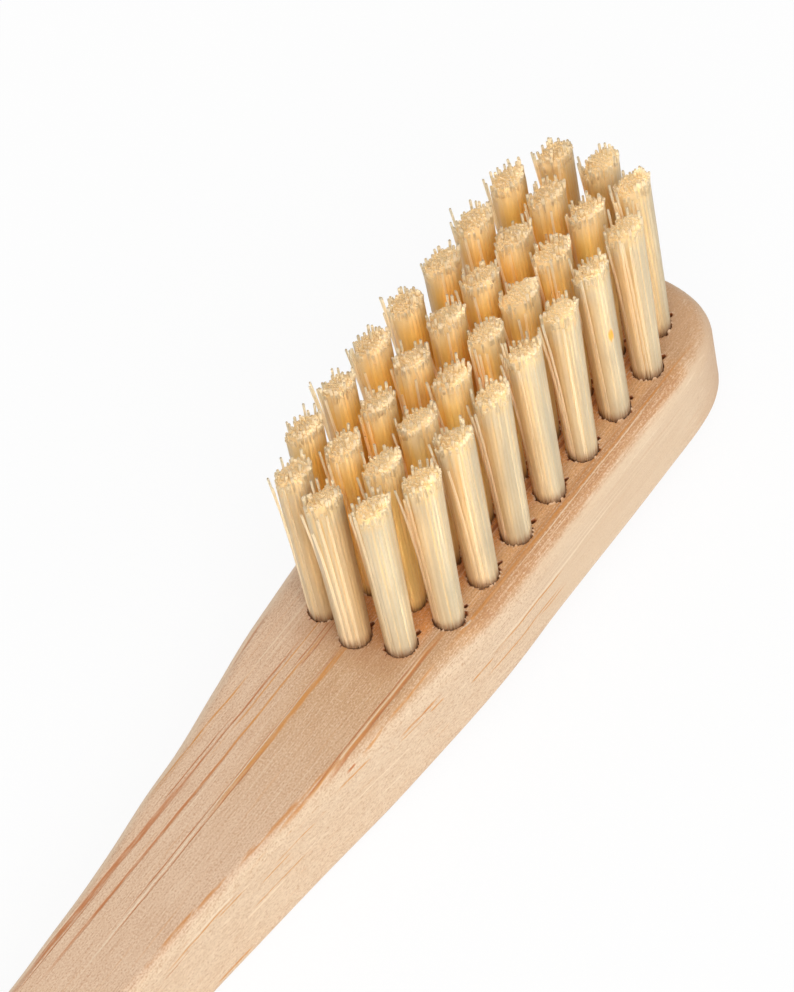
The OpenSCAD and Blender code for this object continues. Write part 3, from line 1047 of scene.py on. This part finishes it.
def bristle_finish():
    """Ivory filaments that let light through, with light and shade painted in among the tufts and at
    the ends, and browner at the holes.
    """
    material, bench, shader = new_material("ivory_bristle")
    shader.subsurface_method = "BURLEY"
    place = bench.millimetres(FACE_MIDDLE)
    along, across, height = bench.split(place)
    tone_of_strand = bench.attribute("strand_tone")
    streaks = bench.cloud(place, (9, 9, 0.35), 2.0)
    crowd = bench.attribute("tuft_crowd")
    below = bench.times(bench.rise(height, 10.6, 8.2), bench.rise(height, 0.5, 4.0, 0.75, 1.0))
    from_side = bench.times(bench.rise(across, -3.4, -1.0), bench.rise(across, 3.9, 2.9))
    from_end = bench.times(bench.rise(along, -11.0, -9.0), bench.rise(along, 12.0, 10.0))
    # the mask of the painted amber light deep among the tufts
    deep = bench.times(from_side, from_end, below)
    deep = bench.times(deep, bench.rise(tone_of_strand, 0.7, 1.0, 1.0, 0.65))

    # The filaments' own tone, then painted light and shade: ochre in the grooves, amber shade where the
    # tufts close them in, and lighter, warmer tones among and deep in the tufts and on the strays
    tone = bench.blend(tone_of_strand, paint(180, 165, 138), paint(193, 180, 153))
    tone = bench.blend(bench.rise(streaks, 0.45, 0.7, 0.0, 0.25), tone, paint(204, 172, 126))
    gap = bench.attribute("strand_gap")
    # painted light: the grooves and crevices between filaments are painted ochre, standing in for light
    # passing between and through them
    tone = bench.blend(bench.times(gap, 0.35), tone, paint(236, 190, 112))
    # painted shade: amber where neighbouring tufts close a flank in and shade it
    tone = bench.blend(bench.times(crowd, below, 0.75), tone, paint(203, 164, 108))
    # painted light: the upper flanks of the middle-row tufts are painted paler and warmer to lift their
    # shade
    among = bench.times(from_side, from_end, bench.rise(height, 10.7, 9.9, 0.0, 0.5))
    tone = bench.blend(among, tone, paint(226, 197, 148))
    # painted light and shade: a bright amber deep among the tufts stands in for light filtered through
    # the filaments and lifts their shade
    tone = bench.blend(deep, tone, paint(238, 196, 106))
    # painted light: strays and the proudest tips are painted paler, standing in for light through thin
    # filaments
    clear = bench.math("MAXIMUM", bench.attribute("strand_clear"), bench.rise(height, 10.52, 10.66))
    tone = bench.blend(bench.times(clear, 0.85), tone, paint(240, 222, 188))

    # The cut ends, partly their own tone and partly painted shade, the crevices between them painted
    # lighter, both darker towards the far side as painted shade, and painted highlights on some
    # painted light: the crevices between the ends are painted lighter to lift their shade
    crevice = bench.times(gap, bench.rise(height, 10.0, 10.3, 0.0, 0.5))
    # painted shade: the ends are painted darker towards the far side
    far = bench.rise(across, -3.6, 3.6)
    crevice_tone = bench.blend(far, paint(213, 186, 139), paint(192, 162, 118))
    tone = bench.blend(crevice, tone, crevice_tone)
    end = bench.attribute("strand_end")
    cut_end = bench.rise(end, 0.02, 0.5)
    # partly painted shade: the ends' tan is partly their own tone and partly holds down the tops, which
    # face the lamps
    cut_tone = bench.blend(far, paint(209, 187, 149), paint(192, 168, 130))
    tone = bench.blend(bench.times(cut_end, 0.7), tone, cut_tone)
    # painted highlight: a pale dot on the crown of some ends
    painted_glint = bench.times(bench.rise(end, 0.3, 0.9), bench.rise(tone_of_strand, 0.65, 0.9, 0.0, 0.6))
    tone = bench.blend(painted_glint, tone, paint(250, 238, 216))

    scaled = (1 / RESIN_W, 1 / RESIN_W, 1 / RESIN_H)
    bead = bench.node("ShaderNodeVectorMath", operation="DISTANCE")
    bench.put(bead.inputs[0], bench.stretched(place, scaled))
    bench.put(bead.inputs[1], [(a - b) * c for a, b, c in zip(RESIN_AT, FACE_MIDDLE, scaled)])
    amber = bench.rise(bead.outputs["Value"], 1.1, 0.6, 0.0, 0.9)
    tone = bench.blend(amber, tone, paint(236, 152, 44))
    foot = bench.rise(bench.plus(height, bench.times(streaks, -0.8)), -0.6, 0.4, 0.8, 0.0)
    tone = bench.blend(foot, tone, paint(118, 68, 30))
    bench.put(shader.inputs["Base Color"], tone)
    worn = bench.rise(streaks, 0.3, 0.7, 0.3, 0.42)
    bench.put(shader.inputs["Roughness"], bench.rise(cut_end, 0.0, 1.0, worn, 0.15))
    shader.inputs["IOR"].default_value = 1.53
    shader.inputs["Specular IOR Level"].default_value = 0.3
    shader.inputs["Subsurface Weight"].default_value = 1.0
    shader.inputs["Subsurface Radius"].default_value = (1.0, 0.93, 0.78)
    shader.inputs["Subsurface Scale"].default_value = 0.85 * MM
    return material


def anchor_finish():
    """Thin rolled strip, with fine lines from the rolls."""
    material, bench, shader = new_material("rolled_anchor_strip")
    place = bench.millimetres()
    lines = bench.cloud(place, (2, 2, 40), 3.0)
    tone = bench.blend(lines, paint(176, 172, 160), paint(206, 203, 194))
    bench.put(shader.inputs["Base Color"], tone)
    bench.put(shader.inputs["Roughness"], bench.rise(lines, 0.2, 0.8, 0.25, 0.45))
    shader.inputs["Metallic"].default_value = 1.0
    bench.put(shader.inputs["Normal"], bench.bump(lines, 0.005))
    return material


def seen_white(tree, shaded, share):
    """Whitens what the camera sees, also by reflection, and leaves the light on the brush alone."""
    bench = Bench(tree)
    path = bench.node("ShaderNodeLightPath").outputs
    seen = bench.most([path["Is Camera Ray"], path["Is Glossy Ray"], path["Is Transmission Ray"]])
    white = bench.node("ShaderNodeEmission")
    white.inputs["Strength"].default_value = 1.0
    both = bench.node("ShaderNodeMixShader")
    bench.put(both.inputs[0], bench.times(seen, share))
    bench.put(both.inputs[1], shaded)
    bench.put(both.inputs[2], white.outputs[0])
    return both.outputs[0]


# The table and the lamps, in metres
TABLE_REACH = 3
LAMP_DISTANCE = 0.7


def make_table():
    """The plain white table top that the brush lies on."""
    material, bench, shader = new_material("white_table")
    shader.inputs["Base Color"].default_value = (0.95, 0.95, 0.95, 1)
    shader.inputs["Roughness"].default_value = 0.9
    output = next(n for n in material.node_tree.nodes if n.type == "OUTPUT_MATERIAL")
    bench.put(output.inputs["Surface"], seen_white(material.node_tree, shader.outputs[0], 0.9))
    corners = [(x * TABLE_REACH, y * TABLE_REACH, 0) for x, y in ((-1, -1), (1, -1), (1, 1), (-1, 1))]
    data = bpy.data.meshes.new("table_top")
    data.from_pydata(corners, [], [(0, 1, 2, 3)])
    table = bpy.data.objects.new("table_top", data)
    table.data.materials.append(material)
    bpy.context.collection.objects.link(table)


def light_room():
    """An even pale room, a soft lamp at the near side, and a stronger one over the near neck."""
    world = bpy.data.worlds.new("pale_room")
    bpy.context.scene.world = world
    world.use_nodes = True
    tree = world.node_tree
    tree.nodes.clear()
    bench = Bench(tree)
    room = bench.node("ShaderNodeBackground")
    room.inputs["Color"].default_value = (1, 1, 1, 1)
    room.inputs["Strength"].default_value = 0.5
    output = bench.node("ShaderNodeOutputWorld")
    bench.put(output.inputs["Surface"], seen_white(tree, room.outputs[0], 1.0))

    head = Vector(FACE_MIDDLE) * MM
    for name, side, size, power in (
        ("key_lamp", Vector((0.05, -0.8, 0.55)), 0.35, 0.7),
        ("front_lamp", Vector((-0.5, -0.5, 0.72)), 0.5, 2.9),
    ):
        data = bpy.data.lights.new(name, "AREA")
        data.size = size
        data.energy = power
        lamp = bpy.data.objects.new(name, data)
        lamp.location = head + side.normalized() * LAMP_DISTANCE
        lamp.rotation_mode = "QUATERNION"
        lamp.rotation_quaternion = (head - lamp.location).to_track_quat("-Z", "Y")
        bpy.context.collection.objects.link(lamp)


CAMERA_AZIMUTH = math.radians(-46.147)
CAMERA_ELEVATION = math.radians(50.404)
CAMERA_ROLL = math.radians(-12.285)
CAMERA_DISTANCE = 304.587
CAMERA_AIM = Vector((-3.781, 3.027, 0))
CAMERA_LENS = 228.92


def aim_camera():
    """The camera looks down on the head from the neck's near side."""
    back = Vector(
        (
            math.sin(CAMERA_AZIMUTH) * math.cos(CAMERA_ELEVATION),
            -math.cos(CAMERA_AZIMUTH) * math.cos(CAMERA_ELEVATION),
            math.sin(CAMERA_ELEVATION),
        )
    )
    level = Vector((0, 0, 1)).cross(back).normalized()
    upright = back.cross(level)
    right = level * math.cos(CAMERA_ROLL) + upright * math.sin(CAMERA_ROLL)
    up = back.cross(right)
    aim = Vector(FACE_MIDDLE) + CAMERA_AIM
    data = bpy.data.cameras.new("camera")
    data.lens = CAMERA_LENS
    data.sensor_width = 36
    data.clip_start = 0.01
    data.clip_end = 20
    camera = bpy.data.objects.new("camera", data)
    turn = Matrix((right, up, back)).transposed().to_4x4()
    camera.matrix_world = Matrix.Translation((aim + back * CAMERA_DISTANCE) * MM) @ turn
    bpy.context.collection.objects.link(camera)
    bpy.context.scene.camera = camera


bpy.context.scene.view_settings.view_transform = "Standard"
bpy.context.scene.cycles.max_bounces = 16
bpy.context.scene.cycles.diffuse_bounces = 14
bamboo = bamboo_finish()
make_handle().data.materials.append(bamboo)
ivory = bristle_finish()
for tuft_name in TUFTS:
    make_tuft(tuft_name).data.materials.append(ivory)
anchor_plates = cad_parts["anchor_plates"]
anchor_plates.data.materials.clear()
anchor_plates.data.materials.append(anchor_finish())
make_table()
light_room()
aim_camera()
